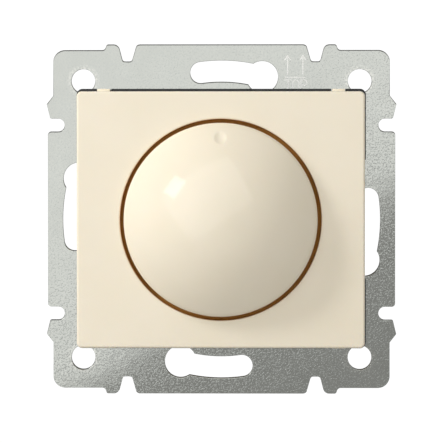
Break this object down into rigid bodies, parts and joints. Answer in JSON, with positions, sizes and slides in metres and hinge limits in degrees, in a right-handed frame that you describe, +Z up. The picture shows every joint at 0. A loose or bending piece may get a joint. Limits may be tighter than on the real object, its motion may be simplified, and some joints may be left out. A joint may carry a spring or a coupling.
{
  "type": "rotary dimmer switch",
  "caption": "Flush-mounted rotary push dimmer: domed ivory knob in a rectangular cover, on a stamped steel support frame with a housing behind it.",
  "frame": {"origin": "on the knob's axis, in the plane of the support frame's rear face, which is the wall plane", "axes": "+Z up as installed, +Y into the wall, the knob points along -Y"},
  "size_m": [0.071, 0.0475, 0.0708],
  "materials": {
    "ivory_plastic": "semi-gloss moulded",
    "zinc_steel": "zinc plated, stamped",
    "dark_plastic": "fine textured",
    "grey_plastic": "moulded",
    "plated_steel": "zinc plated",
    "spring_steel": "polished",
    "brass": "machined",
    "bronze": "rolled",
    "aluminium": "rolled",
    "black_plastic": "moulded",
    "white_plastic": "moulded",
    "laminate": "resin bonded paper",
    "tinned_metal": "tinned",
    "mica": "thermal pad",
    "ferrite": "sintered iron powder",
    "copper": "enamelled wire",
    "yellow_plastic": "moulded case",
    "red_plastic": "dipped lacquer",
    "blue_plastic": "lacquered glass",
    "beige_lacquer": "lacquer",
    "clear_glass": "clear"
  },
  "bodies": {
    "dimmer": {"support_frame": "zinc_steel", "front_frame": "dark_plastic", "frame_screws": "plated_steel", "cover": "ivory_plastic", "spindle_nut": "plated_steel", "spindle_washer": "plated_steel", "bushing": "brass", "housing": "grey_plastic", "heat_sink": "aluminium", "track_case": "black_plastic", "track_wafer": "laminate", "track_pins": "tinned_metal", "circuit_board": "laminate", "switch_case": "black_plastic", "switch_spring": "spring_steel", "fixed_contacts": "brass", "triac_body": "black_plastic", "triac_tab": "tinned_metal", "triac_pad": "mica", "triac_screw": "plated_steel", "choke_core": "ferrite", "choke_winding": "copper", "suppression_capacitor": "yellow_plastic", "timing_capacitor": "red_plastic", "diac": "blue_plastic", "resistors": "beige_lacquer", "component_leads": "tinned_metal", "fuse_glass": "clear_glass", "fuse_caps": "tinned_metal", "fuse_wire": "tinned_metal", "fuse_clips": "brass", "busbars": "brass"},
    "plunger": {"switch_plunger": "white_plastic"},
    "knob": {"knob": "ivory_plastic", "knob_spring": "spring_steel", "spindle": "plated_steel", "spindle_clip": "spring_steel"},
    "rotor": {"rotor": "white_plastic", "wiper": "bronze"},
    "bridge": {"contact_bridge": "bronze"},
    "screw_1": {"terminal_screw_1": "plated_steel"},
    "cage_1": {"terminal_cage_1": "plated_steel"},
    "screw_2": {"terminal_screw_2": "plated_steel"},
    "cage_2": {"terminal_cage_2": "plated_steel"},
    "screw_3": {"terminal_screw_3": "plated_steel"},
    "cage_3": {"terminal_cage_3": "plated_steel"}
  },
  "joints": [
    {"name": "press", "type": "slide", "parent": "dimmer", "child": "plunger", "axis": [0, 1, 0], "range_m": [0, 0.0015], "stiffness_N_per_m": 2000, "springref_m": -0.001, "deforming": ["switch_spring"]},
    {"name": "turn", "type": "hinge", "parent": "plunger", "child": "knob", "pos_m": [0, 0, 0], "axis": [0, 1, 0], "range_deg": [-135, 135]},
    {"name": "rotor_turn", "type": "hinge", "parent": "dimmer", "child": "rotor", "pos_m": [0, 0, 0], "axis": [0, 1, 0], "range_deg": [-135, 135]},
    {"name": "bridge_travel", "type": "slide", "parent": "dimmer", "child": "bridge", "axis": [0, 1, 0], "range_m": [0, 0.0009]},
    {"name": "cage_1_travel", "type": "slide", "parent": "dimmer", "child": "cage_1", "axis": [0, 0, -1], "range_m": [0, 0.0021]},
    {"name": "screw_1_turn", "type": "hinge", "parent": "dimmer", "child": "screw_1", "pos_m": [-0.01, 0.02125, -0.0224], "axis": [0, 0, 1], "range_deg": [0, 1261]},
    {"name": "cage_2_travel", "type": "slide", "parent": "dimmer", "child": "cage_2", "axis": [0, 0, -1], "range_m": [0, 0.0021]},
    {"name": "screw_2_turn", "type": "hinge", "parent": "dimmer", "child": "screw_2", "pos_m": [0, 0.02125, -0.0224], "axis": [0, 0, 1], "range_deg": [0, 1261]},
    {"name": "cage_3_travel", "type": "slide", "parent": "dimmer", "child": "cage_3", "axis": [0, 0, -1], "range_m": [0, 0.0021]},
    {"name": "screw_3_turn", "type": "hinge", "parent": "dimmer", "child": "screw_3", "pos_m": [0.01, 0.02125, -0.0224], "axis": [0, 0, 1], "range_deg": [0, 1261]}
  ],
  "couplings": [
    {"joint": "rotor_turn", "follows": "turn", "ratio": 1},
    {"joint": "bridge_travel", "follows": "press", "ratio": 0.6},
    {"joint": "screw_1_turn", "follows": "cage_1_travel", "rad_per_m": 10472},
    {"joint": "screw_2_turn", "follows": "cage_2_travel", "rad_per_m": 10472},
    {"joint": "screw_3_turn", "follows": "cage_3_travel", "rad_per_m": 10472}
  ]
}
